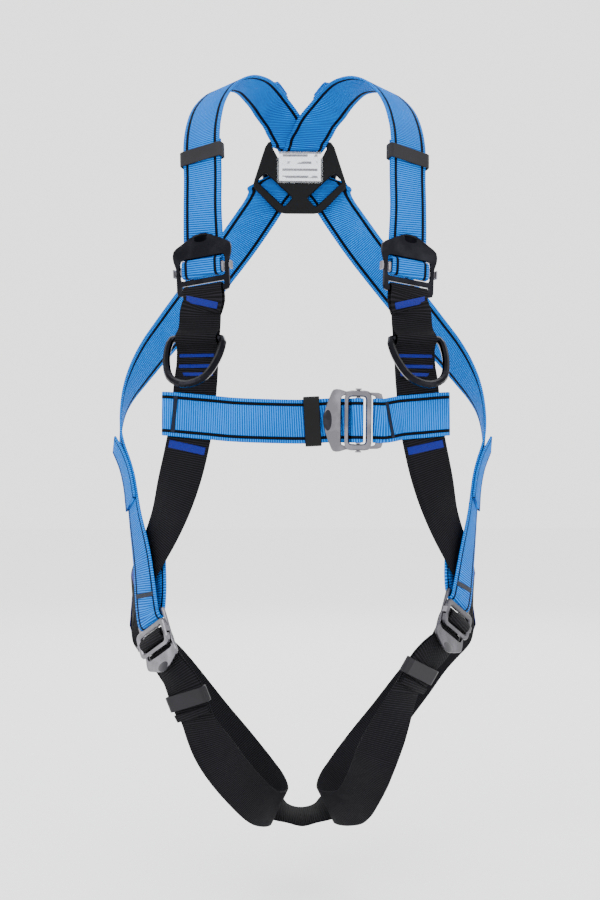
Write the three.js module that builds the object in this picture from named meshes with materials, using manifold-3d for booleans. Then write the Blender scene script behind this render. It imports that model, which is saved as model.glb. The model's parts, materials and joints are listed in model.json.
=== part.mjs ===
// A full-body safety harness, worn shape, as an assembly of webbing, buckles, rings and keepers.
//
// Millimetres. +Z is up, the wearer faces -Y, +X is to the right of someone who looks at the
// front of the harness, and "left" and "right" in names are as that person sees them.
// The origin lies between the wearer's shoulders, level with the underside of the shoulder straps.
//
// Every strap is webbing swept along a route. A route is a list of stations, each with the place
// of the webbing's middle and the way its outer face looks: [x, y, z, outX, outY, outZ]. A seventh
// number, from 0 to 1, turns the line across the webbing from square to level with the X axis, for
// slanting webbing that folds over a level edge.
// Hardware is drawn flat in a seat of its own: x across the webbing, y along it, z outwards.
import * as THREE from 'three';
import { mergeVertices } from 'three/addons/utils/BufferGeometryUtils.js';
import Module from 'manifold-3d';

const wasm = await Module();
wasm.setup();

// ---------------------------------------------------------------- driving dimensions
const WEB_WIDTH = 45;
const WEB_THICK = 2.2;
const AIR = 0.35; // left between two faces that touch
const PITCH = WEB_THICK + AIR; // from layer to layer in a stack of webbing

const RING_WIRE = 8; // wire of the front D-rings
const RING_SEAT = WEB_THICK / 2 + AIR + RING_WIRE / 2; // ring bar above the webbing it lies on
const RING_TILT = 24; // degrees that the stitched tab holds a front ring away from the chest

const ADJUSTER_THICK = 3.5;
const BAR_TRAVEL = 2; // free slide of the bar in a buckle link
const LINK_THICK = 5;
const BASE_THICK = 3;
const KEEPER_WALL = 1.8;
const KEEPER_LENGTH = 16.5;
const PLATE_THICK = 5;
const THIGH_KEEPER_BACK = 2; // how far down its strap a thigh keeper sits from the section that seats it

const PLATE_MIDDLE = [0, 107, -88]; // the dorsal plate, upright across the back
const RIGHT = 1;
const LEFT = -1;

// The harness is worn a little unevenly: the left hip buckle hangs lower than the right one,
// and the left thigh loop stands further out.
const hipDrop = (side) => (side === LEFT ? 9.3 : -9.3);
const thighSwing = (side) => (side === LEFT ? 8 : -8);

// ---------------------------------------------------------------- materials
const finish = (color, roughness, metalness) => new THREE.MeshStandardMaterial({ color, roughness, metalness });
const BLUE_WEBBING = finish(0x1487e0, 0.75, 0);
const BLACK_WEBBING = finish(0x1b1b1f, 0.8, 0);
const BLACK_PLASTIC = finish(0x17171a, 0.45, 0);
const GREY_PLASTIC = finish(0x54525a, 0.5, 0);
const DARK_STEEL = finish(0x3c3d44, 0.35, 0.8);
const GREY_STEEL = finish(0x77757c, 0.35, 0.8);
const SILVER_STEEL = finish(0xb9b6be, 0.3, 0.9);
const WHITE_CARD = finish(0xf2f2f4, 0.6, 0);
const CLEAR_FILM = finish(0xdfe3e8, 0.15, 0);

const harness = new THREE.Group();

function addPiece(name, geometry, material, seat) {
  const mesh = new THREE.Mesh(geometry, material);
  mesh.name = name;
  if (seat) mesh.applyMatrix4(seat);
  harness.add(mesh);
}

// ---------------------------------------------------------------- seats and routes
const vector = (list) => new THREE.Vector3(...list);

// A seat at a point: its y runs along the webbing and its z looks outwards.
function seatAt(at, along, outward) {
  const y = vector(along).normalize();
  const x = y.clone().cross(vector(outward)).normalize();
  const z = x.clone().cross(y);
  return new THREE.Matrix4().makeBasis(x, y, z).setPosition(...at);
}

const shifted = (seat, x, y, z) => seat.clone().multiply(new THREE.Matrix4().makeTranslation(x, y, z));
const tilted = (seat, degrees) =>
  seat.clone().multiply(new THREE.Matrix4().makeRotationX(THREE.MathUtils.degToRad(degrees)));

// Stations drawn for the right side, put on either side of the wearer.
const onSide = (side, stations) =>
  stations.map(([x, y, z, outX, outY, outZ, level]) => [side * x, y, z, side * outX, outY, outZ, level]);

// The same stations, moved outwards.
const raised = (stations, height) => stations.map(([x, y, z, outX, outY, outZ, level]) => {
  const rise = vector([outX, outY, outZ]).setLength(height);
  return [x + rise.x, y + rise.y, z + rise.z, outX, outY, outZ, level];
});

// The way back along stations, as the webbing lies after a turn: its outer face looks the other way.
const turnedBack = (stations) =>
  stations.toReversed().map(([x, y, z, outX, outY, outZ]) => [x, y, z, -outX, -outY, -outZ]);

// Stations inside a fitting, from [y, z, outY, outZ] in its seat.
function threaded(seat, places) {
  return places.map(([y, z, outY, outZ]) => {
    const at = new THREE.Vector3(0, y, z).applyMatrix4(seat);
    const outward = new THREE.Vector3(0, outY, outZ).transformDirection(seat);
    return [...at, ...outward];
  });
}

class Route {
  constructor(stations) {
    this.spans = stations.length - 1;
    this.middle = new THREE.CatmullRomCurve3(stations.map((s) => vector(s.slice(0, 3))));
    this.outward = new THREE.CatmullRomCurve3(
      stations.map((s) => vector(s.slice(3, 6)).normalize()), false, 'catmullrom', 0.5);
    this.levels = new THREE.CatmullRomCurve3(stations.map((s) => new THREE.Vector3(s[6] ?? 0, 0, 0)));
  }

  // The seat at a place counted in stations, so 2.5 is half way from station 2 to station 3.
  seat(place) {
    const t = THREE.MathUtils.clamp(place / this.spans, 0, 1);
    const along = this.middle.getTangent(t);
    const outward = this.outward.getPoint(t).normalize();
    const underLevel = new THREE.Vector3(1, 0, 0).cross(along).normalize();
    underLevel.multiplyScalar(Math.sign(underLevel.dot(outward)));
    return seatAt(this.middle.getPoint(t), along, outward.lerp(underLevel, this.level(t)));
  }

  level(t) {
    return this.levels.getPoint(t).x;
  }

  // How far the line across the webbing leads along it, for each millimetre from the middle.
  slant(place) {
    const level = this.level(THREE.MathUtils.clamp(place / this.spans, 0, 1));
    if (level === 0) return 0;
    const across = new THREE.Vector3();
    const along = new THREE.Vector3();
    this.seat(place).extractBasis(across, along, new THREE.Vector3());
    return -level * (across.y * along.y + across.z * along.z) / (along.y ** 2 + along.z ** 2);
  }
}

// Stations beside a route, from [place, height over the webbing's middle, outY, outZ].
const beside = (route, places) =>
  places.flatMap(([place, height, outY = 0, outZ = 1]) => threaded(route.seat(place), [[0, height, outY, outZ]]));

// Webbing from one place on a route to another.
function webbing(route, from = 0, to = route.spans, stepsPerSpan = 3) {
  const steps = Math.ceil((to - from) * stepsPerSpan);
  const geometry = new THREE.BoxGeometry(WEB_WIDTH, 1, WEB_THICK, 1, steps, 1);
  const points = geometry.attributes.position;
  const point = new THREE.Vector3();
  for (let i = 0; i < points.count; i += 1) {
    point.fromBufferAttribute(points, i);
    const place = from + (point.y + 0.5) * (to - from);
    point.setY(point.x * route.slant(place)).applyMatrix4(route.seat(place));
    points.setXYZ(i, point.x, point.y, point.z);
  }
  // The inner face is split along the same diagonals as the outer one, so that twisted webbing
  // keeps its thickness.
  const corners = geometry.index.array;
  const { start, count } = geometry.groups.at(-1);
  for (let i = start; i < start + count; i += 6) {
    const [a, b, d, , c] = corners.slice(i, i + 6);
    corners.set([a, b, c, a, c, d], i);
  }
  geometry.computeVertexNormals();
  return geometry;
}

// ---------------------------------------------------------------- solids by boolean
function solid(geometry) {
  const bare = geometry.clone();
  bare.deleteAttribute('normal');
  bare.deleteAttribute('uv');
  const merged = mergeVertices(bare, 1e-4);
  return new wasm.Manifold(new wasm.Mesh({
    numProp: 3,
    vertProperties: new Float32Array(merged.attributes.position.array),
    triVerts: new Uint32Array(merged.index.array),
  }));
}

function geometryOf(manifold) {
  const mesh = manifold.getMesh();
  const geometry = new THREE.BufferGeometry();
  geometry.setAttribute('position', new THREE.BufferAttribute(new Float32Array(mesh.vertProperties), 3));
  geometry.setIndex(new THREE.BufferAttribute(new Uint32Array(mesh.triVerts), 1));
  geometry.computeVertexNormals();
  return geometry;
}

const block = (width, length, height, x = 0, y = 0, z = 0) =>
  new THREE.BoxGeometry(width, length, height).translate(x, y, z);

// ---------------------------------------------------------------- flat outlines
// An outline through points, with every corner rounded by the same radius.
function rounded(points, radius, path = new THREE.Shape()) {
  points.forEach(([x, y], i) => {
    const corner = new THREE.Vector2(x, y);
    const before = new THREE.Vector2(...points.at(i - 1)).sub(corner);
    const after = new THREE.Vector2(...points[(i + 1) % points.length]).sub(corner);
    const cut = Math.min(radius, before.length() / 2.1, after.length() / 2.1);
    const start = before.setLength(cut).add(corner);
    const end = after.setLength(cut).add(corner);
    if (i === 0) path.moveTo(start.x, start.y);
    else path.lineTo(start.x, start.y);
    path.quadraticCurveTo(corner.x, corner.y, end.x, end.y);
  });
  path.closePath();
  return path;
}

const rectangle = (width, height, x = 0, y = 0) => [
  [x - width / 2, y - height / 2],
  [x + width / 2, y - height / 2],
  [x + width / 2, y + height / 2],
  [x - width / 2, y + height / 2],
];

// A half outline, given from the bottom up on the +x side, and its mirror image.
const bothSides = (half) => [...half, ...half.toReversed().map(([x, y]) => [-x, y])];

// A flat piece of even thickness with softened edges, its mid plane at z = 0.
function stamped(shape, thickness, edge = 0.6, curveSegments = 2) {
  return new THREE.ExtrudeGeometry(shape, {
    depth: thickness - 2 * edge,
    bevelThickness: edge,
    bevelSize: edge,
    bevelOffset: -edge,
    bevelSegments: 1,
    curveSegments,
  }).translate(0, 0, edge - thickness / 2);
}

// ---------------------------------------------------------------- shoulder adjusters
// Seen flat: a thumb plate with a dished notch on top, a window with a sliding bar for the
// shoulder strap, and a slotted foot that the torso strap is sewn around. y = 0 is the foot's edge.
const ADJUSTER = {
  footWidth: 62,
  headWidth: 69,
  height: 64,
  window: { width: 53, low: 16, high: 38 },
  slot: { width: 50, low: 6.2, high: 10.4 },
  barY: 25.5,
  barHeight: 11,
  barThick: 5,
  barTravel: 3,
};

function adjusterFrame() {
  const { footWidth, headWidth, height, window: opening, slot, barY, barTravel } = ADJUSTER;
  const outline = rounded(bothSides([
    [footWidth / 2, 0],
    [footWidth / 2, 31],
    [headWidth / 2, 39],
    [headWidth / 2, 50],
    [16, 59],
    [6, height],
  ]), 5);
  outline.holes.push(rounded(rectangle(opening.width, opening.high - opening.low, 0, (opening.high + opening.low) / 2),
    3, new THREE.Path()));
  outline.holes.push(rounded(rectangle(slot.width, slot.high - slot.low, 0, (slot.high + slot.low) / 2),
    1, new THREE.Path()));
  const thumbNotch = new THREE.SphereGeometry(24, 16, 10).scale(1, 1, 0.5).translate(0, height + 4, 12);
  const barSlot = block(2 * footWidth, 6 + barTravel, 2.6, 0, barY + barTravel / 2, 0);
  const frame = solid(stamped(outline, ADJUSTER_THICK)).subtract(solid(thumbNotch)).subtract(solid(barSlot));
  return geometryOf(frame);
}

// The bar that grips the shoulder strap, with a flat head outside each rail of the frame.
function adjusterBar() {
  const { window: opening, barHeight, barThick, footWidth } = ADJUSTER;
  const middle = stamped(rounded(rectangle(opening.width - 2, barHeight), 2), barThick, 1);
  const neck = block(footWidth + 5, 5, 1.6);
  const head = (side) => block(1.6, 8.5, 5, side * (footWidth / 2 + 2.4), 0, 0);
  return geometryOf(solid(middle).add(solid(neck)).add(solid(head(LEFT))).add(solid(head(RIGHT))));
}

const adjusterSeat = (side) => seatAt([side * 106, -90, -248], [side * 0.05, 0.13, 0.99], [side * 0.45, -0.88, 0.08]);

// ---------------------------------------------------------------- quick-connect buckles
// Seen flat, y runs from the sewn strap's end bar to the thumb plate. The link lies on the base,
// and the adjustable strap comes up through the base and round the link's sliding bar.
const BUCKLE = {
  width: 64,
  opening: { width: 51.5, low: -23, high: 12.7 },
  endBar: -30,
  link: { width: 61, low: -18.2, high: 9.2, windowWidth: 48, windowLow: -12.3, windowHigh: 4.7 },
  linkZ: BASE_THICK / 2 + AIR + LINK_THICK / 2,
  barRadius: 2.75,
};
const BUCKLE_LOOP = { low: -9, high: 1.3 }; // middles of the webbing on both sides of the bar
const BAR_REST_Y = BUCKLE_LOOP.low + WEB_THICK / 2 + AIR + BUCKLE.barRadius;

function buckleBase() {
  const { width, opening, endBar } = BUCKLE;
  const outline = rounded(bothSides([
    [width / 2 - 3.5, endBar],
    [width / 2 - 2.5, 8],
    [width / 2, 14],
    [width / 2, 21],
    [17, 27],
    [5, 30.5],
  ]), 5);
  const hole = rectangle(opening.width, opening.high - opening.low, 0, (opening.high + opening.low) / 2);
  outline.holes.push(rounded(hole, 4, new THREE.Path()));
  const thumbNotch = new THREE.SphereGeometry(22, 16, 10).scale(1, 0.9, 0.5).translate(0, 39, 11.5);
  return geometryOf(solid(stamped(outline, BASE_THICK)).subtract(solid(thumbNotch)));
}

function buckleLink() {
  const { link } = BUCKLE;
  const outline = rounded(rectangle(link.width, link.high - link.low, 0, (link.high + link.low) / 2), 7);
  outline.holes.push(rounded(
    rectangle(link.windowWidth, link.windowHigh - link.windowLow, 0, (link.windowHigh + link.windowLow) / 2),
    3, new THREE.Path()));
  const barSlot = block(2 * link.width, 4.4 + BAR_TRAVEL, 2.8, 0, BAR_REST_Y + BAR_TRAVEL / 2, 0);
  return geometryOf(solid(stamped(outline, LINK_THICK, 1.2, 3)).subtract(solid(barSlot)));
}

function linkBar() {
  const { link, barRadius } = BUCKLE;
  const middle = new THREE.CylinderGeometry(barRadius, barRadius, link.windowWidth - 1.4, 12).rotateZ(Math.PI / 2);
  const neck = block(link.width + 3, 3.6, 2);
  const head = (side) => block(1.4, 6, 4, side * (link.width / 2 + 1.3), 0, 0);
  return geometryOf(solid(middle).add(solid(neck)).add(solid(head(LEFT))).add(solid(head(RIGHT))));
}

// Webbing of the adjustable strap in a buckle: under the thumb plate, round the bar, and back.
const BUCKLE_UNDER = -BASE_THICK / 2 - AIR - WEB_THICK / 2;
const BUCKLE_TOP = BUCKLE.linkZ + BUCKLE.barRadius + AIR + WEB_THICK / 2;
const loopInBuckle = [
  [12.9, BUCKLE_UNDER, 0, 1],
  [8, BUCKLE_UNDER + 0.7, 0.2, 1],
  [3.6, BUCKLE_UNDER + 2.6, 0.8, 1],
  [BUCKLE_LOOP.high, 2.4, 1, 0.2],
  [BUCKLE_LOOP.high, 5.4, 1, 0.3],
  [-1, BUCKLE_TOP - 0.6, 0.5, 1],
  [-3.85, BUCKLE_TOP, 0, 1],
  [-6.7, BUCKLE_TOP - 0.6, -0.5, 1],
  [BUCKLE_LOOP.low, 5.4, -1, 0.3],
  [BUCKLE_LOOP.low, 2.4, -1, -0.2],
  [-7.2, -2.4, -0.8, -1],
  [-1.5, BUCKLE_UNDER - PITCH + 0.5, -0.2, -1],
  [5, BUCKLE_UNDER - PITCH, 0, -1],
  [12.9, BUCKLE_UNDER - PITCH, 0, -1],
];
// A layer under the thumb plate, from the far side of the plate in to the loop. The bend is how far
// it leans towards the body for each millimetre past the plate's near edge.
const underThumbPlate = (z, face, bend = 0) =>
  [24, 14].map((y) => [y, z - bend * (y - 14), bend * face, face]);
const THIGH_BEND = 0.32;
const CHEST_BEND = 0.17;

// Webbing of the sewn strap round the end bar, from its outer face to its inner face.
const BAR_CLEAR = BASE_THICK / 2 + AIR + WEB_THICK / 2 + 0.2;
const roundEndBar = [
  [-32, BAR_CLEAR, 0, 1],
  [-23.6, BAR_CLEAR, 0, 1],
  [-21.4, BAR_CLEAR * 0.62, 1, 0.8],
  [-20.7, 0, 1, 0],
  [-21.4, -BAR_CLEAR * 0.62, 1, -0.8],
  [-23.6, -BAR_CLEAR, 0, -1],
  [-32, -BAR_CLEAR - 0.8, 0, -1],
];

const chestSeat = seatAt([47, -118, -380], [-1, 0, 0.01], [0, -1, 0]);
const hipSeat = (side) =>
  seatAt([side * 154, -80, -601 - hipDrop(side)], [side * -0.275, -0.345, -0.897], [side * 0.81, -0.58, -0.03]);

// ---------------------------------------------------------------- routes of the webbing
// Shoulder strap, from above its adjuster over the shoulder to the slot in the dorsal plate.
const shoulderFront = [
  [108.5, -77.5, -158, 0.5, -0.86, 0.05],
  [108.5, -72, -122, 0.5, -0.85, 0.1],
  [109.5, -62, -86, 0.5, -0.83, 0.25],
];
const shoulderTop = [
  [108, -48, -62, 0.5, -0.75, 0.45],
  [102, -28, -36, 0.48, -0.55, 0.7],
  [88, -8, -14, 0.42, -0.3, 0.85],
  [72, 12, -3, 0.35, -0.1, 0.93],
  [56, 38, 1, 0.2, 0.1, 0.97],
  [45, 64, -2, 0.1, 0.4, 0.9],
];
// The two straps cross at the dorsal plate: down its front, out through its slot and over the bar of
// the dorsal ring. The left one lies a layer further out.
const layerAtCrossing = (side) => (side === LEFT ? PITCH + 0.1 : 0);
const crossing = (side) => raised([
  [33, 87, -12, 0.05, 0.8, 0.6, 0.6],
  [21, 98, -26, 0, 0.98, 0.2, 1],
  [14, 100.3, -38, 0, 1, 0, 1],
  [8.5, 100.5, -48, 0, 1, 0, 1],
  [6, 101.9, -54.4, 0, 0.7, 0.7, 1],
  [4.5, 106, -56.2, 0, 0, 1, 1],
  [2.5, 112, -57.3, 0, 0.3, 0.95, 1],
  [0, 117.8, -61.2, 0, 0.75, 0.65, 1],
  [-3, 121.2, -68, 0, 1, 0.1, 1],
  [-6, 120.9, -75.5, 0, 0.95, -0.3, 1],
  [-9.5, 116.8, -82, 0, 0.85, -0.5, 1],
  [-14, 112.7, -88.5, 0, 0.95, -0.3, 1],
], layerAtCrossing(side));
const CROSSING_SPLIT = 9; // a shoulder strap ends here, and the same webbing goes on as a side strap

// Side strap, from behind the dorsal plate round the flank to the hip buckle's end bar.
const sideBack = (side) => [
  ...raised([
    [21, 111.5, -95, 0, 1, 0, 1],
    [31, 111.2, -104, 0, 1, 0, 1],
  ], layerAtCrossing(-side)),
  [49, 112, -131, 0.08, 1, 0, 0.5],
  [75.8, 104, -171, 0.3, 0.95, 0],
  [113.8, 88, -223, 0.42, 0.9, 0],
  [149, 60, -272, 0.65, 0.75, 0.1],
  [175, 31, -311, 0.86, 0.5, 0.1],
  [196, 8, -355, 1, 0.06, 0.05],
];
const sideFront = [
  [199.5, -8, -399, 0.99, -0.13, 0],
  [188, -25, -442, 0.97, -0.25, 0.03],
  [180.5, -43, -485, 0.94, -0.32, 0.05],
  [172, -60, -527, 0.88, -0.47, 0.03],
];
// Its end comes back inside the outer layer, up to the torso strap.
const sideReturn = (side) => [
  [157.5, -63.3, -550 - hipDrop(side) * 0.6, -0.84, 0.54, 0],
  [159.8, -56.5, -524, -0.8, 0.6, 0],
];

// Torso strap, below the D-ring: past the chest strap and round the front of the hip.
const torsoFront = [
  [114, -102, -342, 0.13, -0.98, 0.1],
  [117.5, -102.8, -379, 0.12, -0.99, 0],
  [123.2, -102, -410, 0.13, -0.99, -0.05],
  [131, -96.5, -441, 0.25, -0.96, -0.05],
  [144.5, -82, -483, 0.62, -0.78, -0.05],
  [165, -61.7, -527, 0.83, -0.56, 0],
  [181.5, -34.9, -560, 0.93, -0.37, 0.05],
  [187, 2, -588, 1, -0.02, 0],
];
// Thigh strap: behind the thigh, under the crotch and up the front of the thigh.
const thighBack = [
  [187.2, 5.5, -589.5, 1, 0, 0],
  [183, 25, -609, 0.95, 0.3, -0.1],
  [168, 50, -631, 0.83, 0.52, -0.15],
  [150, 72, -655, 0.55, 0.8, -0.2],
  [128, 85, -687, 0.2, 0.95, -0.25],
  [101.6, 81, -720, 0, 0.95, -0.3],
  [74.4, 70, -750, -0.1, 0.85, -0.5],
  [48.4, 50, -779, -0.4, 0.55, -0.7],
  [26, 15, -805, -0.9, 0, -0.43],
];
const thighKeeperSeat = (side) =>
  seatAt([side * (120 + thighSwing(side) * 0.25), -90, -651 - hipDrop(side) * 1.5],
    [side * (0.43 - thighSwing(side) * 0.01), 0.03, 0.88], [side * (0.52 - thighSwing(side) * 0.014), -0.78, -0.36]);
const thighFront = (side) => {
  const swing = thighSwing(side);
  const up = [
    [46 - swing * 0.5, -20, -799, -0.7, -0.45, -0.5],
    [66 + swing * 0.2, -50, -768, -0.5, -0.75, -0.35],
    [83 + swing, -77, -731, -0.15, -0.93, -0.3],
  ];
  const throughKeeper = [[-30, -1, 0.1, 1], [-13, 0, 0, 1], [-9, 0, 0, 1], [9, 0, 0, 1]];
  return [...onSide(side, up), ...threaded(thighKeeperSeat(side), throughKeeper)];
};
const THIGH_PITCH = PITCH + 0.3; // the layers lie a little looser where the strap twists

// ---------------------------------------------------------------- front D-rings
const ringSeat = (side) => seatAt([side * 110.5, -94.5, -296], [side * -0.06, 0.146, 0.986], [side * 0.33, -0.93, 0.14]);
const overRingBar = [
  [-40, PITCH, 0, 1],
  [-17, PITCH, 0, 1],
  [-9, PITCH + 2.2, -0.6, 1],
  [-5, 8.7, -0.9, 1],
  [0, 2 * RING_SEAT + 0.2, 0, 1],
  [5, 8.7, 0.9, 1],
  [9, PITCH + 2.2, 0.6, 1],
  [17, PITCH, 0, 1],
  [30, PITCH, 0, 1],
];
const underRingBar = [
  [30, 0, 0, -1],
  [17, 0, 0, -1],
  [0, 0, 0, -1],
  [-17, 0, 0, -1],
];

// The ring lies in its own xy plane with the straight bar on the x axis and the bow below it.
function dRing(halfWidth, drop, wire, steps) {
  const bow = new THREE.CatmullRomCurve3([
    [-halfWidth + 7, 0], [-halfWidth + 1.5, -1.8], [-halfWidth, -8], [-halfWidth * 0.93, -drop * 0.5],
    [-halfWidth * 0.6, -drop * 0.87], [0, -drop],
    [halfWidth * 0.6, -drop * 0.87], [halfWidth * 0.93, -drop * 0.5], [halfWidth, -8],
    [halfWidth - 1.5, -1.8], [halfWidth - 7, 0],
    [halfWidth * 0.6, 0], [0, 0], [-halfWidth * 0.6, 0],
  ].map(([x, y]) => new THREE.Vector3(x, y, 0)), true);
  const section = new THREE.Shape().absarc(0, 0, wire / 2, 0, 2 * Math.PI);
  return new THREE.ExtrudeGeometry(section, { extrudePath: bow, steps, curveSegments: 4 });
}

// ---------------------------------------------------------------- dorsal plate and label
const plateSeat = seatAt(PLATE_MIDDLE, [0, 0, 1], [0, -1, 0]);
const LABEL = { width: 49, height: 32, z: 12 };
const FRONT_RING = { halfWidth: 29.5, drop: 58 };
const DORSAL_RING = { wire: 9, halfWidth: 40.5, drop: 46, y: 115.1, z: -71, tilt: 28 };

function dorsalPlate() {
  const outline = rounded(bothSides([[25, -43], [55, -12], [54.5, -6], [38.5, 43]]), 8);
  outline.holes.push(rounded(bothSides([[25, 21], [33, 36]]), 3, new THREE.Path()));
  for (const side of [LEFT, RIGHT]) {
    const turn = THREE.MathUtils.degToRad(side * 43);
    const window = rectangle(44, 14.5).map(([x, y]) => [
      side * 29.5 + x * Math.cos(turn) - y * Math.sin(turn),
      -15 + x * Math.sin(turn) + y * Math.cos(turn),
    ]);
    outline.holes.push(rounded(window, 2.5, new THREE.Path()));
  }
  return stamped(outline, PLATE_THICK, 1.2);
}

// A clear pocket: a rim with a thin front, around a card.
function labelPocket() {
  const depth = 2.4;
  const outer = stamped(rounded(rectangle(LABEL.width + 5, LABEL.height + 5), 3), depth, 0.4);
  const inside = block(LABEL.width + 0.8, LABEL.height + 8, 1.2, 0, 4, -0.3);
  return geometryOf(solid(outer).subtract(solid(inside)));
}

// ---------------------------------------------------------------- keepers
// A band of plastic around a stack of webbing, its middle at the middle of the stack.
function keeper(layers) {
  const width = WEB_WIDTH + 2.6;
  const height = layers * PITCH + 2;
  const outline = rounded(rectangle(width + 2 * KEEPER_WALL, height + 2 * KEEPER_WALL), 3.5);
  outline.holes.push(rounded(rectangle(width, height), 1.5, new THREE.Path()));
  return stamped(outline, KEEPER_LENGTH, 0.6).rotateX(Math.PI / 2);
}

// ---------------------------------------------------------------- assembly
function addShoulder(side, name) {
  const seat = adjusterSeat(side);
  const { barY, barHeight, barThick, barTravel } = ADJUSTER;
  const under = -ADJUSTER_THICK / 2 - AIR - WEB_THICK / 2;
  const front = barThick / 2 + AIR + WEB_THICK / 2;
  const low = barY - barHeight / 2 - AIR - WEB_THICK / 2;
  const high = barY + barHeight / 2 + barTravel + AIR + WEB_THICK / 2;
  const roundBar = threaded(seat, [
    [64, under, 0, 1],
    [48, under, 0, 1],
    [40, under, 0, 1],
    [36.8, under + 0.8, 0.6, 1],
    [high, 0, 1, 0.2],
    [high - 0.5, front - 0.5, 0.8, 0.8],
    [high - 4, front, 0, 1],
    [low + 4, front, 0, 1],
    [low + 0.5, front - 0.5, -0.8, 0.8],
    [low, 0, -1, 0],
    [low + 0.5, -front + 0.3, -0.8, -0.8],
    [low + 4, -front - 0.6, 0, -1],
    [40, under - PITCH, 0, -1],
    [48, under - PITCH, 0, -1],
    [64, under - PITCH, 0, -1],
  ]);
  const over = [...onSide(side, crossing(side)).toReversed(), ...onSide(side, shoulderTop).toReversed()];
  const down = onSide(side, shoulderFront).toReversed();
  const strap = new Route([...over, ...down, ...roundBar, ...turnedBack(raised(down, -PITCH))]);
  const start = crossing(side).length - 1 - CROSSING_SPLIT;
  addPiece(`shoulder_strap_${name}`, webbing(strap, start), BLUE_WEBBING);

  const keeperSeat = shifted(strap.seat(over.length + 0.4), 0, 0, -PITCH / 2);
  addPiece(`shoulder_keeper_${name}`, keeper(2), GREY_PLASTIC, keeperSeat);
  addPiece(`shoulder_adjuster_${name}`, adjusterFrame(), DARK_STEEL, seat);
  addPiece(`shoulder_adjuster_bar_${name}`, adjusterBar(), SILVER_STEEL, shifted(seat, 0, barY, 0));

  // The fall indicator is a fold of webbing, stitched down behind the shoulder.
  const place = crossing(side).length - 0.4;
  const fold = new Route(beside(strap, [
    [place - 0.5, PITCH + 0.5],
    [place, PITCH + 0.5],
    [place + 0.4, PITCH + 0.7],
    [place + 0.55, PITCH + 2.9, -1, 0],
    [place + 0.4, PITCH + 5.2, 0, -1],
    [place, PITCH + 5.4, 0, -1],
    [place - 0.45, PITCH + 4.9, 0, -1],
  ]));
  addPiece(`fall_indicator_${name}`, webbing(fold), BLUE_WEBBING);
}

function addSide(side, name) {
  const seat = hipSeat(side);
  const start = onSide(-side, crossing(-side)).slice(CROSSING_SPLIT);
  const back = onSide(side, sideBack(side));
  const front = onSide(side, sideFront);
  const end = onSide(side, sideReturn(side));
  const strap = new Route([...start, ...back, ...front, ...threaded(seat, roundEndBar), ...end]);
  addPiece(`side_strap_${name}`, webbing(strap, 0.06), BLUE_WEBBING);

  const tailStart = start.length + back.length;
  const tail = new Route(beside(strap, [
    [tailStart + 1.6, PITCH + 0.3],
    [tailStart + 1, PITCH + 0.3],
    [tailStart + 0.5, PITCH + 0.7],
    [tailStart + 0.1, PITCH + 5],
  ]));
  addPiece(`side_strap_tail_${name}`, webbing(tail), BLUE_WEBBING);
}

function addTorso(side, name) {
  const foot = threaded(adjusterSeat(side), [
    [-8, 3, 0, 1],
    [0.5, 3.5, 0, 1],
    [5.4, 3.3, 0.1, 1],
    [7.5, 2.5, 0.7, 0.7],
    [8.3, 0, 1, 0],
    [7.5, -2.5, 0.7, -0.7],
    [5.4, -3.3, 0.1, -1],
    [0.5, -3.5, 0, -1],
    [-8, -3.7, 0, -1],
  ]);
  const ring = ringSeat(side);
  const stations = [
    ...threaded(ring, overRingBar), ...foot, ...threaded(ring, underRingBar),
    ...turnedBack(onSide(side, torsoFront).toReversed()),
  ];
  addPiece(`torso_strap_${name}`, webbing(new Route(stations), 0, stations.length - 1.02), BLACK_WEBBING);
  const hung = tilted(shifted(ring, 0, 0, RING_SEAT), -RING_TILT);
  addPiece(`front_d_ring_${name}`, dRing(FRONT_RING.halfWidth, FRONT_RING.drop, RING_WIRE, 36), DARK_STEEL, hung);
}

function addBuckle(name, seat, color) {
  addPiece(`${name}_base`, buckleBase(), color, seat);
  addPiece(`${name}_link`, buckleLink(), color, shifted(seat, 0, 0, BUCKLE.linkZ));
  addPiece(`${name}_bar`, linkBar(), SILVER_STEEL, shifted(seat, 0, BAR_REST_Y, BUCKLE.linkZ));
}

// On the thigh the main webbing runs under its tail, which ends in a stitched fold past the keeper.
function addThigh(side, name) {
  const seat = hipSeat(side);
  const keeperSeat = thighKeeperSeat(side);
  const under = threaded(seat, underThumbPlate(BUCKLE_UNDER - THIGH_PITCH, 1, THIGH_BEND));
  const strap = new Route([...onSide(side, thighBack), ...thighFront(side), ...under]);
  // The tail follows the main webbing, section by section, to just past the keeper.
  const belowKeeper = strap.spans - under.length - 2;
  const follow = Array.from({ length: 13 }, (_, i) => [strap.spans - i / 3, THIGH_PITCH]);
  const fold = [
    [belowKeeper - 0.4, THIGH_PITCH],
    [belowKeeper - 0.55, THIGH_PITCH + PITCH * 0.15, 0.7, 0.7],
    [belowKeeper - 0.6, THIGH_PITCH + PITCH * 0.5, 1, 0],
    [belowKeeper - 0.55, THIGH_PITCH + PITCH * 0.85, 0.7, -0.7],
    [belowKeeper - 0.4, THIGH_PITCH + PITCH, 0, -1],
    [belowKeeper - 0.1, THIGH_PITCH + PITCH, 0, -1],
  ];
  const tail = new Route(beside(strap, [...follow, ...fold]));
  addPiece(`thigh_strap_${name}`, webbing(strap), BLACK_WEBBING);
  addPiece(`thigh_strap_tail_${name}`, webbing(tail, 0, tail.spans, 1), BLACK_WEBBING);
  addPiece(`thigh_strap_loop_${name}`, webbing(new Route(threaded(seat, loopInBuckle))), BLACK_WEBBING);
  const keeperPlace = shifted(keeperSeat, 0, -THIGH_KEEPER_BACK, THIGH_PITCH / 2);
  addPiece(`thigh_keeper_${name}`, keeper(2), GREY_PLASTIC, keeperPlace);
  addBuckle(`hip_buckle_${name}`, seat, side === LEFT ? SILVER_STEEL : GREY_STEEL);
}

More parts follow.
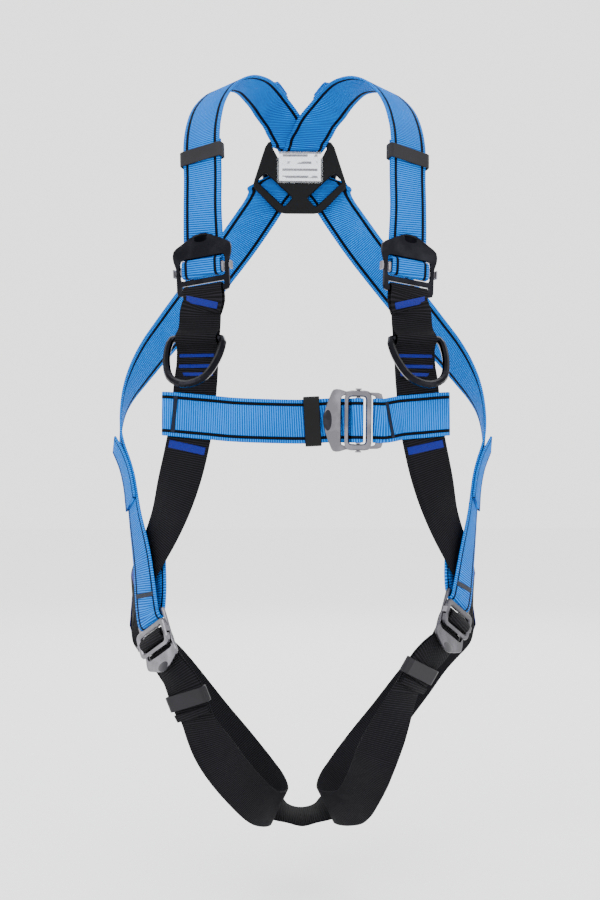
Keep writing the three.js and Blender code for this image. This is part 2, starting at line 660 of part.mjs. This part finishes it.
// Chest straps: each is looped round a torso strap, and they meet in the chest buckle.
const aroundTorsoStrap = [
  [76, -108.6, -379, 0, 1, 0],
  [97, -102.5, -377, 0.1, 1, 0],
  [119, -99.2, -375, 0.12, 1, 0],
  [141, -96.4, -373, 0.14, 1, 0],
  [147.6, -100, -372.6, 1, 0, 0],
  [141, -103.6, -373, 0.14, -1, 0],
  [119, -106, -375, 0.12, -1, 0],
  [97, -108.8, -377, 0.1, -1, 0],
  [76, -111.6, -379, 0, -1, 0],
];

function addChest() {
  const across = [
    [-35, -111.6, -380.6, 0, -1, 0],
    [0, -111.2, -381, 0, -1, 0],
    ...threaded(chestSeat, underThumbPlate(BUCKLE_UNDER, 1, CHEST_BEND)),
  ];
  const strap = new Route([...onSide(LEFT, aroundTorsoStrap), ...across]);
  const right = [...onSide(RIGHT, aroundTorsoStrap).slice(1, -1), ...threaded(chestSeat, roundEndBar)];
  addPiece('chest_strap_left', webbing(strap), BLUE_WEBBING);
  addPiece('chest_strap_tail', webbing(new Route(raised(across, -PITCH))), BLUE_WEBBING);
  addPiece('chest_strap_loop', webbing(new Route(threaded(chestSeat, loopInBuckle))), BLUE_WEBBING);
  addPiece('chest_strap_right', webbing(new Route(right)), BLUE_WEBBING);
  const keeperSeat = shifted(strap.seat(aroundTorsoStrap.length + 1.22), 0, 0, -PITCH / 2);
  addPiece('chest_keeper', keeper(2), BLACK_PLASTIC, keeperSeat);
  addBuckle('chest_buckle', chestSeat, SILVER_STEEL);
}

function addBack() {
  addPiece('dorsal_plate', dorsalPlate(), BLACK_PLASTIC, plateSeat);
  const front = PLATE_THICK / 2 + AIR;
  addPiece('label_pocket', labelPocket(), CLEAR_FILM, shifted(plateSeat, 0, LABEL.z - 1, front + 1.2));
  addPiece('label_card', block(LABEL.width, LABEL.height, 0.5), WHITE_CARD,
    shifted(plateSeat, 0, LABEL.z - 1, front + 0.9));
  const { wire, halfWidth, drop, y, z, tilt } = DORSAL_RING;
  const seat = tilted(seatAt([0, y, z], [0, 0, 1], [0, 1, 0]), -tilt);
  addPiece('dorsal_d_ring', dRing(halfWidth, drop, wire, 36), DARK_STEEL, seat);
}

// The sub-pelvic strap joins the two thigh straps behind the crotch, lying almost flat.
function addSubPelvic() {
  const half = [
    [0, 44, -826, 0, 0.2, -0.98],
    [18, 43, -821, -0.15, 0.2, -0.96],
    [30, 43, -814.5, -0.3, 0.3, -0.9],
  ];
  const stations = [...onSide(LEFT, half).toReversed(), ...half.slice(1)];
  addPiece('sub_pelvic_strap', webbing(new Route(stations), 0, stations.length - 1, 5), BLACK_WEBBING);
}

for (const [side, name] of [[LEFT, 'left'], [RIGHT, 'right']]) {
  addShoulder(side, name);
  addSide(side, name);
  addTorso(side, name);
  addThigh(side, name);
}
addChest();
addBack();
addSubPelvic();

export default harness;
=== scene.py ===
"""The looks of a full-body safety harness, built round its CAD frame: webbing, stitching, metal, plastic.

Lengths are millimetres in the part's frame, and go into Blender as metres. Only the studio is laid out
in metres. The straps are swept again along the sections of their CAD solids, as fine ribbed webbing.
"""

import json
import math

import bpy
import numpy as np
from mathutils import Matrix, Vector

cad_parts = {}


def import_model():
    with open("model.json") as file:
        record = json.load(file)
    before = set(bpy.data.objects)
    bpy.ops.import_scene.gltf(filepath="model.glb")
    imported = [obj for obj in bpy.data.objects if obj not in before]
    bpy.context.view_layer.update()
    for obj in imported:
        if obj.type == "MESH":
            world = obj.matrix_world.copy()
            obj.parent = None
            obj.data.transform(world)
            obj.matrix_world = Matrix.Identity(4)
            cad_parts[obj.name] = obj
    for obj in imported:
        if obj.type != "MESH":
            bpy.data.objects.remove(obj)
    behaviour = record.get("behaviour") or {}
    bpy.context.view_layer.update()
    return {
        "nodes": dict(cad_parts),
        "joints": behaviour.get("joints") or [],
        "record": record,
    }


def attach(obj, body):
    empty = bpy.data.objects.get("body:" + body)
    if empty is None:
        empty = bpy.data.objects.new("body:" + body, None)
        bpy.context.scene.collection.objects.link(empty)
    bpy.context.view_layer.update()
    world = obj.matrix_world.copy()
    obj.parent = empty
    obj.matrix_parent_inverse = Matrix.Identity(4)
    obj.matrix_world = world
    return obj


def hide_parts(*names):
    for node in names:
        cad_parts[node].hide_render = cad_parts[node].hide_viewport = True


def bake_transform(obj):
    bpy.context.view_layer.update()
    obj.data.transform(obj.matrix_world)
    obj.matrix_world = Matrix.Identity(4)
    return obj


MM = 0.001
ROOT = "harness_webbing"
WEB_WIDTH = 45.0
WEB_THICK = 2.2
STEP = 2.5  # between cross-sections of the webbing
PELVIC_REACH = 7.0  # how far the sub-pelvic strap runs on at each end, to where it is sewn
HIP_REACH = 3.0  # how far the torso and thigh straps run on, to where they are sewn end to end
HIP_SEAM = (215, 8, -592)  # just outside the seam of the right torso and thigh straps
HIP_DROP = 9.3  # the left hip buckle hangs this much lower than the middle of the two
SIDES = ((-1, "left", HIP_DROP), (1, "right", -HIP_DROP))  # sign of X, name, drop of the hip buckle
RIB_PITCH = 2.3
RIB_LEAN = 0.06  # how far along the webbing a rib runs for each millimetre across
YARN_PITCH = 1.5
TRACER = 17.2  # from the middle of the webbing to the middle of its dark line
TRACER_WIDTH = 3.2
EDGE_TAPER = 0.03  # of the half width, over which the webbing thins towards its edge
EDGE_THICK = 0.4  # of the thickness, left at the edge
THREAD_PITCH = 1.4
TACK_THICK = 0.7
TACK_LIFT = 0.1  # from the strap's face to the middle of a stitched patch
BAR_HALF_PITCH = 4.2  # half of the spacing of the label's grey bars
BAR_REACH = 21.0  # from the middle of the label to the ends of its bars
BEVEL_WIDTH = 0.25
DISH_HALVES = (13.0, 5.0, 1.05)  # half sizes across the plate, towards its thumb edge and out of it
DISH_LIFT = 0.9  # outwards from the middle of the plate's thickness

# the first colour of each webbing is its painted shade in the grooves between the ribs, the second its
# painted highlight on the rib crests
AZURE_SHADED = (0.0, 0.045, 0.24)
AZURE_LIT = (0.0, 0.24, 0.85)
BLACK_SHADED = (0.0008, 0.0008, 0.0012)
BLACK_LIT = (0.011, 0.0105, 0.014)
ROYAL_BLUE = (0.0, 0.008, 0.26)
THREAD_BLACK = (0.001, 0.001, 0.002)


def on_side(side, place):
    """A place given on the right, or its mirror image on the left if side is -1."""
    return side * place[0], *place[1:]


def add_camera():
    camera = bpy.data.objects.new("camera", bpy.data.cameras.new("camera"))
    camera.data.lens = 54.76
    camera.data.sensor_width = 36
    camera.location = Vector((-53.4, -1509.1, -410)) * MM
    camera.rotation_euler = (math.radians(90), 0, math.radians(-1.9))
    bpy.context.scene.collection.objects.link(camera)
    bpy.context.scene.camera = camera


# ---------------------------------------------------------------- materials
class Nodes:
    """A material's node tree, with short calls for the nodes used here."""

    def __init__(self, name, **values):
        self.material = bpy.data.materials.new(name)
        self.material.use_nodes = True
        self.tree = self.material.node_tree
        self.shader = self.tree.nodes["Principled BSDF"]
        for socket, value in values.items():
            self.shader.inputs[socket.replace("_", " ")].default_value = value

    def add(self, kind, inputs=(), **settings):
        node = self.tree.nodes.new(kind)
        for key, value in settings.items():
            setattr(node, key, value)
        for index, value in enumerate(inputs):
            self.put(value, node.inputs[index])
        return node.outputs[0]

    def put(self, value, socket):
        if isinstance(value, bpy.types.NodeSocket):
            self.tree.links.new(value, socket)
        else:
            socket.default_value = value

    def math(self, operation, *values):
        return self.add("ShaderNodeMath", values, operation=operation)

    def ramp(self, value, low, high):
        """0 below low, 1 above high."""
        return self.add("ShaderNodeMapRange", (value, low, high, 0.0, 1.0))

    def mix(self, factor, first, second):
        node = self.tree.nodes.new("ShaderNodeMix")
        node.data_type = "RGBA"
        self.put(factor, node.inputs["Factor"])
        self.put(first if isinstance(first, bpy.types.NodeSocket) else (*first, 1), node.inputs["A"])
        self.put(second if isinstance(second, bpy.types.NodeSocket) else (*second, 1), node.inputs["B"])
        return node.outputs["Result"]

    def noise(self, scale, detail=2.0, vector=None):
        node = self.tree.nodes.new("ShaderNodeTexNoise")
        node.inputs["Scale"].default_value = scale
        node.inputs["Detail"].default_value = detail
        self.put(vector or self.place(), node.inputs["Vector"])
        return node.outputs["Fac"]

    def place(self):
        return self.add("ShaderNodeTexCoord").node.outputs["Object"]

    def across_and_along(self):
        """Millimetres across the webbing from its middle, and along it."""
        uv = self.add("ShaderNodeTexCoord").node.outputs["UV"]
        split = self.add("ShaderNodeSeparateXYZ", (uv,)).node
        return split.outputs["X"], split.outputs["Y"]

    def bump(self, height, distance, strength=1.0):
        node = self.tree.nodes.new("ShaderNodeBump")
        node.inputs["Strength"].default_value = strength
        node.inputs["Distance"].default_value = distance * MM
        self.put(height, node.inputs["Height"])
        self.put(node.outputs["Normal"], self.shader.inputs["Normal"])


def webbing_material(name, shaded, light, tracer=None):
    """Polyester webbing: ribs across it, fine yarns in each rib, and a dark tracer line near each edge. Its
    colour is painted shade in the grooves and painted highlight on the rib crests, over tone that differs
    at random.
    """
    n = Nodes(name, Roughness=0.75, Specular_IOR_Level=0.08)
    across, along = n.across_and_along()
    lean = n.math("MULTIPLY", across, RIB_LEAN)
    turn = n.math("MULTIPLY", n.math("ADD", along, lean), 2 * math.pi / RIB_PITCH)
    rib = n.math("MULTIPLY_ADD", n.math("SINE", turn), 0.5, 0.5)
    yarn_turn = n.math("MULTIPLY", across, 2 * math.pi / YARN_PITCH)
    yarn = n.math("MULTIPLY_ADD", n.math("SINE", yarn_turn), 0.5, 0.5)
    height = n.math("MULTIPLY_ADD", yarn, 0.25, rib)
    fade = n.noise(9.0, 3.0)
    # painted shade and highlight: the colour follows the ribs, dark in the grooves and light on the crests,
    # with random tone over it
    tone_and_rib_shade = n.ramp(n.math("MULTIPLY_ADD", fade, 0.5, n.math("MULTIPLY", rib, 0.75)), 0.3, 1.2)
    colour = n.mix(tone_and_rib_shade, shaded, light)
    if tracer:
        off = n.math("ABSOLUTE", n.math("SUBTRACT", n.math("ABSOLUTE", across), TRACER))
        colour = n.mix(n.ramp(off, TRACER_WIDTH / 2 + 0.25, TRACER_WIDTH / 2 - 0.1), colour, tracer)
    n.put(colour, n.shader.inputs["Base Color"])
    n.bump(height, 0.6)
    return n.material


def stitch_material(name, thread, cloth_in_shade):
    """Close zigzag stitching, with a little of the cloth between the threads, the cloth painted dark as
    shade between the threads.
    """
    n = Nodes(name, Roughness=0.55, Specular_IOR_Level=0.2)
    across, along = n.across_and_along()
    zigzag = n.math("PINGPONG", n.math("MULTIPLY", across, 1.6), 1.0)
    turn = n.math("MULTIPLY", n.math("ADD", along, zigzag), 2 * math.pi / THREAD_PITCH)
    height = n.math("MULTIPLY_ADD", n.math("SINE", turn), 0.5, 0.5)
    n.put(n.mix(n.ramp(height, 0.08, 0.35), cloth_in_shade, thread), n.shader.inputs["Base Color"])
    n.bump(height, 0.4)
    return n.material


def steel_material(name, colour, worn, roughness):
    """Plated steel with fine scratches and brighter rubbed patches."""
    n = Nodes(name, Metallic=1.0)
    stretched = n.add("ShaderNodeMapping", (n.place(),)).node
    stretched.inputs["Scale"].default_value = (1.0, 1.0, 9.0)
    scratches = n.noise(260.0, 4.0, stretched.outputs[0])
    cloud = n.noise(55.0, 3.0)
    n.put(n.mix(n.ramp(cloud, 0.45, 0.75), colour, worn), n.shader.inputs["Base Color"])
    rough = n.add("ShaderNodeMapRange", (scratches, 0.3, 0.7, roughness, roughness + 0.16))
    n.put(rough, n.shader.inputs["Roughness"])
    n.bump(scratches, 0.06, 0.5)
    return n.material


def plastic_material(name, colour, worn, roughness):
    """Moulded plastic with a fine grain."""
    n = Nodes(name, Specular_IOR_Level=0.14)
    grain = n.noise(900.0, 2.0)
    cloud = n.noise(40.0, 3.0)
    n.put(n.mix(n.ramp(cloud, 0.4, 0.8), colour, worn), n.shader.inputs["Base Color"])
    rough = n.add("ShaderNodeMapRange", (cloud, 0.3, 0.7, roughness, roughness + 0.12))
    n.put(rough, n.shader.inputs["Roughness"])
    n.bump(grain, 0.12, 0.6)
    return n.material


def card_material(name):
    """A white card with plain grey bars where print would be."""
    n = Nodes(name, Roughness=0.6)
    place = n.add("ShaderNodeSeparateXYZ", (n.place(),)).node
    line = n.math("PINGPONG", n.math("MULTIPLY", place.outputs["Z"], 1 / (BAR_HALF_PITCH * MM)), 1.0)
    rows = n.ramp(line, 0.62, 0.7)
    words = n.ramp(n.noise(95.0, 0.0), 0.42, 0.46)
    inside = n.ramp(n.math("ABSOLUTE", place.outputs["X"]), BAR_REACH * MM, (BAR_REACH - 0.5) * MM)
    marks = n.math("MULTIPLY", n.math("MULTIPLY", rows, words), inside)
    n.put(n.mix(marks, (0.95, 0.95, 0.97), (0.09, 0.09, 0.1)), n.shader.inputs["Base Color"])
    return n.material


def film_material(name):
    """Clear pocket film, a little cloudy."""
    n = Nodes(name, Roughness=0.12, IOR=1.45, Base_Color=(0.92, 0.94, 0.96, 1))
    cloud = n.noise(60.0, 2.0)
    n.put(n.add("ShaderNodeMapRange", (cloud, 0.3, 0.7, 0.04, 0.1)), n.shader.inputs["Alpha"])
    return n.material


def webbing_and_thread():
    return {
        "blue_webbing": webbing_material("azure webbing", AZURE_SHADED, AZURE_LIT, tracer=THREAD_BLACK),
        "black_webbing": webbing_material("black webbing", BLACK_SHADED, BLACK_LIT),
        # the cloth between the stitches is painted shade: the shaded black of the webbing, and a near-black
        # blue for the azure webbing under black thread
        "royal_thread": stitch_material("royal blue thread", ROYAL_BLUE, BLACK_SHADED),
        "black_thread": stitch_material("black thread", THREAD_BLACK, (0.0, 0.012, 0.05)),
    }


def plastic_and_card():
    black, black_worn = (0.0012, 0.0012, 0.0016), (0.003, 0.003, 0.0035)
    grey, grey_worn = (0.009, 0.0085, 0.0105), (0.014, 0.0135, 0.0165)
    return {
        "black_plastic": plastic_material("black plastic", black, black_worn, 0.45),
        "grey_plastic": plastic_material("grey plastic", grey, grey_worn, 0.42),
        "label_card": card_material("label card"),
        "clear_film": film_material("clear film"),
    }


def metals():
    dark, dark_worn = (0.007, 0.007, 0.009), (0.013, 0.013, 0.016)
    grey, grey_worn = (0.05, 0.049, 0.056), (0.09, 0.087, 0.1)
    silver, silver_worn = (0.13, 0.127, 0.14), (0.23, 0.22, 0.245)
    # the dish colours are the plate's steel painted darker as the shade in the dish under the thumb, and
    # polished
    dark_dish_shade, dark_dish_shade_worn = (0.002, 0.002, 0.003), (0.004, 0.004, 0.005)
    grey_dish_shade, grey_dish_shade_worn = (0.02, 0.02, 0.024), (0.05, 0.048, 0.055)
    return {
        "dark_steel": steel_material("dark steel", dark, dark_worn, 0.16),
        "grey_steel": steel_material("grey steel", grey, grey_worn, 0.22),
        "silver_steel": steel_material("silver steel", silver, silver_worn, 0.2),
        "dark_polish_and_shade": steel_material("dark polish and shade", dark_dish_shade, dark_dish_shade_worn, 0.05),
        "grey_polish_and_shade": steel_material("grey polish and shade", grey_dish_shade, grey_dish_shade_worn, 0.06),
    }


# ---------------------------------------------------------------- webbing
class Strap:
    """Sections of a CAD strap in order: middle, half width vector and unit normal, in millimetres."""

    def __init__(self, node):
        points, triangles = welded(node.data)
        rings = ordered_rings(points, triangles)
        self.read(points, rings)
        chords = np.linalg.norm(np.diff(self.middle, axis=0), axis=1)
        self.along = np.concatenate([[0], np.cumsum(chords)])
        self.length = self.along[-1]

    def read(self, points, rings):
        """A ring's corners lie in pairs across the thickness, with the strap's width between the pairs."""
        middle, half, normal = [], [], []
        centres = [points[ring].mean(0) for ring in rings]
        for i, ring in enumerate(rings):
            corners = points[ring]
            gaps = np.linalg.norm(corners - corners[0], axis=1)
            partner = int(np.argsort(gaps)[1])
            others = [k for k in range(1, 4) if k != partner]
            first = (corners[0] + corners[partner]) / 2
            second = corners[others].mean(0)
            across = (second - first) / 2
            if half and np.dot(across, half[-1]) < 0:
                across = -across
            ahead = centres[min(i + 1, len(rings) - 1)] - centres[max(i - 1, 0)]
            outward = corners[0] - corners[partner]
            outward = outward / np.linalg.norm(outward)
            if np.dot(np.cross(across, ahead), outward) < 0:
                outward = -outward
            middle.append(centres[i])
            half.append(across)
            normal.append(outward)
        self.middle, self.half, self.normal = np.array(middle), np.array(half), np.array(normal)

    def at(self, distance):
        """Middle, half width vector and normal at a distance; past an end the strap goes straight on."""
        inside = min(max(distance, 0.0), self.length)
        i = int(np.clip(np.searchsorted(self.along, inside) - 1, 0, len(self.along) - 2))
        t = (inside - self.along[i]) / (self.along[i + 1] - self.along[i])
        middle = smooth(self.middle, i, t)
        half = smooth(self.half, i, t)
        normal = smooth(self.normal, i, t)
        if distance != inside:
            middle = middle + (distance - inside) * self.direction(i)
        return middle, half, normal / np.linalg.norm(normal)

    def direction(self, i):
        chord = self.middle[i + 1] - self.middle[i]
        return chord / np.linalg.norm(chord)

    def nearest(self, place):
        """The distance along the strap nearest to a place, and which of its faces looks at it."""
        place = np.array(place, float)
        best = min(np.arange(0, self.length, 1.0), key=lambda d: np.linalg.norm(self.at(d)[0] - place))
        middle, _, normal = self.at(best)
        return best, 1 if np.dot(place - middle, normal) > 0 else -1


def smooth(values, i, t):
    """Catmull-Rom between rows i and i + 1."""
    a, b = values[max(i - 1, 0)], values[i]
    c, d = values[i + 1], values[min(i + 2, len(values) - 1)]
    return 0.5 * (2 * b + (c - a) * t + (2 * a - 5 * b + 4 * c - d) * t**2 + (3 * b - a - 3 * c + d) * t**3)


def welded(mesh):
    """A mesh's points in millimetres, each once, and its triangles."""
    mesh.calc_loop_triangles()
    points = np.array([v.co for v in mesh.vertices]) / MM
    keys = [tuple(row) for row in np.round(points, 2)]
    number = {key: i for i, key in enumerate(dict.fromkeys(keys))}
    triangles = [[number[keys[v]] for v in t.vertices] for t in mesh.loop_triangles]
    return np.array(list(number), float), triangles


def ordered_rings(points, triangles):
    """The rings of four corners of a swept strap, from one end to the other."""
    neighbours = {}
    thin = []
    for triangle in triangles:
        for a in triangle:
            neighbours.setdefault(a, set()).update(triangle)
        corners = points[triangle]
        sides = sorted(np.linalg.norm(corners - np.roll(corners, 1, axis=0), axis=1))
        # half of an end cap has one side as short as the thickness and another as long as the width
        if sides[0] < 1.5 * WEB_THICK and sides[1] > 0.8 * WEB_WIDTH:
            thin.append(set(triangle))
    for a in thin:
        for b in thin:
            if len(a & b) == 2:
                rings = rings_from(a | b, neighbours)
                if all(len(ring) == 4 for ring in rings):
                    return rings
    raise ValueError("this solid isn't a swept strap")


def rings_from(ring, neighbours):
    """Rings of points, each the next neighbours of the one before."""
    rings, seen = [], set()
    while ring:
        rings.append(sorted(ring))
        seen |= ring
        ring = set().union(*(neighbours[a] for a in ring)) - seen
    return rings


def profile(width, thick):
    """A flat oval: half widths as a share of the strap's half width, and heights in millimetres."""
    edge = width / WEB_WIDTH
    near = edge - EDGE_TAPER
    half = thick / 2
    thin = half * EDGE_THICK
    outline = [(-edge, -thin), (-near, -half), (0, -half), (near, -half), (edge, -thin)]
    return outline + [(x, -z) for x, z in reversed(outline)]


def swept(
    name, strap, start, end, material, width=WEB_WIDTH, thick=WEB_THICK, height=0.0, step=STEP, across=None
):
    """Webbing along a strap from one distance to another, with millimetres across and along as its UV.

    The half width vector follows the strap, unless across gives one for the whole length.
    """
    outline = profile(width, thick)
    count = max(2, math.ceil((end - start) / step) + 1)
    vertices, uvs = [], []
    for distance in np.linspace(start, end, count):
        middle, half, normal = strap.at(distance)
        half = half if across is None else across
        for share, rise in outline:
            vertices.append((middle + share * half + (rise + height) * normal) * MM)
            uvs.append((share * WEB_WIDTH / 2, distance))
    size = len(outline)
    faces = []
    for i in range(count - 1):
        for k in range(size):
            a, b = i * size + k, i * size + (k + 1) % size
            faces.append((a, b, b + size, a + size))
    faces.append(tuple(reversed(range(size))))
    faces.append(tuple(range((count - 1) * size, count * size)))
    return mesh_object(name, vertices, faces, uvs, material)


def mesh_object(name, vertices, faces, uvs, material):
    mesh = bpy.data.meshes.new(name)
    mesh.from_pydata([tuple(v) for v in vertices], [], faces)
    layer = mesh.uv_layers.new(name="webbing")
    for loop in mesh.loops:
        layer.data[loop.index].uv = uvs[loop.vertex_index]
    mesh.polygons.foreach_set("use_smooth", [len(p.vertices) == 4 for p in mesh.polygons])
    mesh.materials.append(material)
    made = bpy.data.objects.new(name, mesh)
    bpy.context.scene.collection.objects.link(made)
    return made


def tack(name, strap, place, material, length=8.0, width=38.0):
    """A patch of close stitching on the face of a strap that looks at a place."""
    distance, face = strap.nearest(place)
    height = face * (WEB_THICK / 2 + TACK_LIFT)
    start, end = distance - length / 2, distance + length / 2
    across = strap.at(distance)[1]
    patch = swept(name, strap, start, end, material, width, TACK_THICK, height, step=1.0, across=across)
    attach(patch, ROOT)


# ---------------------------------------------------------------- build
def dress_straps(frame, looks):
    """Replaces every webbing solid with fine webbing, and returns the straps by node name."""
    straps = {}
    for part in frame["record"]["subparts"]:
        node, slot = part["node"], part["material_slot"]
        if slot not in ("blue_webbing", "black_webbing"):
            continue
        strap = Strap(frame["nodes"][node])
        straps[node] = strap
        before, after = reach_to_seam(node, strap)
        made = swept("web_" + node, strap, -before, strap.length + after, looks[slot])
        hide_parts(node)
        if "loop" not in node:
            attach(made, ROOT)
        elif node == "chest_strap_loop":
            bend_at_mouth(made, "chest_link", frame["joints"])
        else:
            side = node.rsplit("_", 1)[1]
            bend_at_mouth(made, "hip_link_" + side, frame["joints"])
    return straps


def reach_to_seam(node, strap):
    """How far a strap's looks run on past its first and last section, to where it is sewn."""
    if node == "sub_pelvic_strap":
        return PELVIC_REACH, PELVIC_REACH
    kind, side = node.rsplit("_", 1)
    if kind not in ("torso_strap", "thigh_strap"):
        return 0.0, 0.0
    seam = np.array(on_side(-1 if side == "left" else 1, HIP_SEAM))
    first, last = (np.linalg.norm(strap.middle[i] - seam) for i in (0, -1))
    return (HIP_REACH, 0.0) if first < last else (0.0, HIP_REACH)


def bend_at_mouth(loop, link, joints):
    """The loop's placement is baked into its mesh. The link's joint, pivot and axis are read but not used,
    so the loop doesn't turn with its link.
    """
    joint = next(j for j in joints if j["child"] == link)
    points = np.array([v.co for v in loop.data.vertices])
    pivot = np.array(joint["pos_m"])
    far = points[np.argmax(np.linalg.norm(points - pivot, axis=1))]
    inwards = far - pivot
    axis = np.array(joint["axis"])
    inwards = inwards - axis * np.dot(inwards, axis)
    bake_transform(loop)


def dress_hardware(frame, looks):
    """Materials, soft shading and a fine bevel on every CAD piece that shows."""
    for part in frame["record"]["subparts"]:
        node = frame["nodes"][part["node"]]
        if part["material_slot"].endswith("webbing"):
            continue
        node.data.materials.clear()
        node.data.materials.append(looks[part["material_slot"]])
        node.data.polygons.foreach_set("use_smooth", [True] * len(node.data.polygons))
        edges = node.modifiers.new("edges", "BEVEL")
        edges.width = BEVEL_WIDTH * MM
        edges.segments = 2
        edges.limit_method = "ANGLE"
        edges.angle_limit = math.radians(50)
        edges.harden_normals = True


def add_stitching(straps, looks):
    royal, black = looks["royal_thread"], looks["black_thread"]
    for side, name, drop in SIDES:
        torso = straps[f"torso_strap_{name}"]
        for i, (place, length) in enumerate((
            ((side * 110, -115, -259), 7),
            ((side * 110, -118, -312), 3.5),
            ((side * 110, -119, -321), 3.5),
            ((side * 110, -120, -330), 3.5),
            ((side * 123, -115, -408), 8),
            ((side * 200, -45, -545), 14),
        )):
            tack(f"torso_tack_{name}_{i}", torso, place, royal, length)
        hip = straps[f"side_strap_{name}"]
        tack(f"hip_tack_{name}", hip, (side * 175, -85, -556 - drop * 0.5), black, 5)
        tack(f"back_tack_{name}", hip, (side * 120, 110, -225), black, 7)
        shoulder = straps[f"shoulder_strap_{name}"]
        tack(f"shoulder_tack_{name}", shoulder, (side * 112, -72, -95), black, 3)
        fold = straps[f"fall_indicator_{name}"]
        tack(f"fold_tack_{name}", fold, (side * 60, 30, 40), black, 4)
        thigh = straps[f"thigh_strap_{name}"]
        tack(f"thigh_tack_{name}", thigh, on_side(side, HIP_SEAM), royal, 12, WEB_WIDTH)
        tack(f"crotch_tack_{name}", thigh, (side * 52, 52, -810), royal, 8)
        tack(f"pelvic_tack_{name}", straps["sub_pelvic_strap"], (side * 27, 43, -850), royal, 6)
    tack("chest_tack_left", straps["chest_strap_left"], (-138, -125, -375), black, 4)
    tack("chest_tack_right", straps["chest_strap_right"], (88, -125, -378), black, 4)


def add_dishes(looks):
    """The polished dish under the thumb on every adjuster and buckle, placed as its plate lies, its darker
    colour painted shade in the recess.
    """
    for side, name, drop in SIDES:
        dish(f"adjuster_dish_{name}", (side * 106, -90, -248), (side * 0.05, 0.13, 0.99),
             (side * 0.45, -0.88, 0.08), 57.5, looks["dark_polish_and_shade"])
        dish(f"hip_dish_{name}", (side * 154, -80, -601 - drop), (side * -0.275, -0.345, -0.897),
             (side * 0.81, -0.58, -0.03), 26, looks["grey_polish_and_shade"])
    dish("chest_dish", (47, -118, -380), (-1, 0, 0.01), (0, -1, 0), 26, looks["grey_polish_and_shade"])


def dish(name, origin, along, outward, reach, material):
    """A low oval on a plate, at a distance from the plate's origin towards its thumb edge."""
    y = Vector(along).normalized()
    x = y.cross(Vector(outward)).normalized()
    z = x.cross(y)
    middle = Vector(origin) + reach * y + DISH_LIFT * z
    bpy.ops.mesh.primitive_uv_sphere_add(segments=32, ring_count=16)
    made = bpy.context.object
    made.name = name
    sizes = Matrix([half * axis for half, axis in zip(DISH_HALVES, (x, y, z))]).transposed().to_4x4()
    made.data.transform(Matrix.Scale(MM, 4) @ Matrix.Translation(middle) @ sizes)
    made.data.polygons.foreach_set("use_smooth", [True] * len(made.data.polygons))
    made.data.materials.append(material)
    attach(made, ROOT)


def area_light(name, place, target, size, power):
    light = bpy.data.objects.new(name, bpy.data.lights.new(name, "AREA"))
    light.data.size = size
    light.data.energy = power
    light.location = place
    light.rotation_euler = (Vector(target) - Vector(place)).to_track_quat("-Z", "Y").to_euler()
    bpy.context.scene.collection.objects.link(light)


def add_studio():
    """White surroundings, four soft lights and a pale floor, in metres."""
    world = bpy.data.worlds.new("studio")
    world.use_nodes = True
    world.node_tree.nodes["Background"].inputs["Color"].default_value = (1, 1, 1, 1)
    world.node_tree.nodes["Background"].inputs["Strength"].default_value = 2.2
    bpy.context.scene.world = world
    middle = (0, 0, -0.4)
    area_light("key", (-1.6, -2.2, 1.2), middle, 1.6, 40)
    area_light("fill", (1.9, -1.8, 0.3), middle, 1.8, 16)
    area_light("top", (0.1, 0.4, 1.8), middle, 1.6, 14)
    area_light("back", (0.3, 2.2, 0.6), middle, 1.6, 14)

    bpy.ops.mesh.primitive_plane_add(size=14, location=(0, 0, -0.9))
    floor = bpy.context.object
    floor.name = "floor"
    paper = Nodes("floor paper", Roughness=0.9, Base_Color=(0.95, 0.95, 0.95, 1))
    floor.data.materials.append(paper.material)


def main():
    add_camera()
    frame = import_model()
    looks = webbing_and_thread() | plastic_and_card() | metals()
    straps = dress_straps(frame, looks)
    dress_hardware(frame, looks)
    add_stitching(straps, looks)
    add_dishes(looks)
    add_studio()
    bpy.context.view_layer.update()


main()
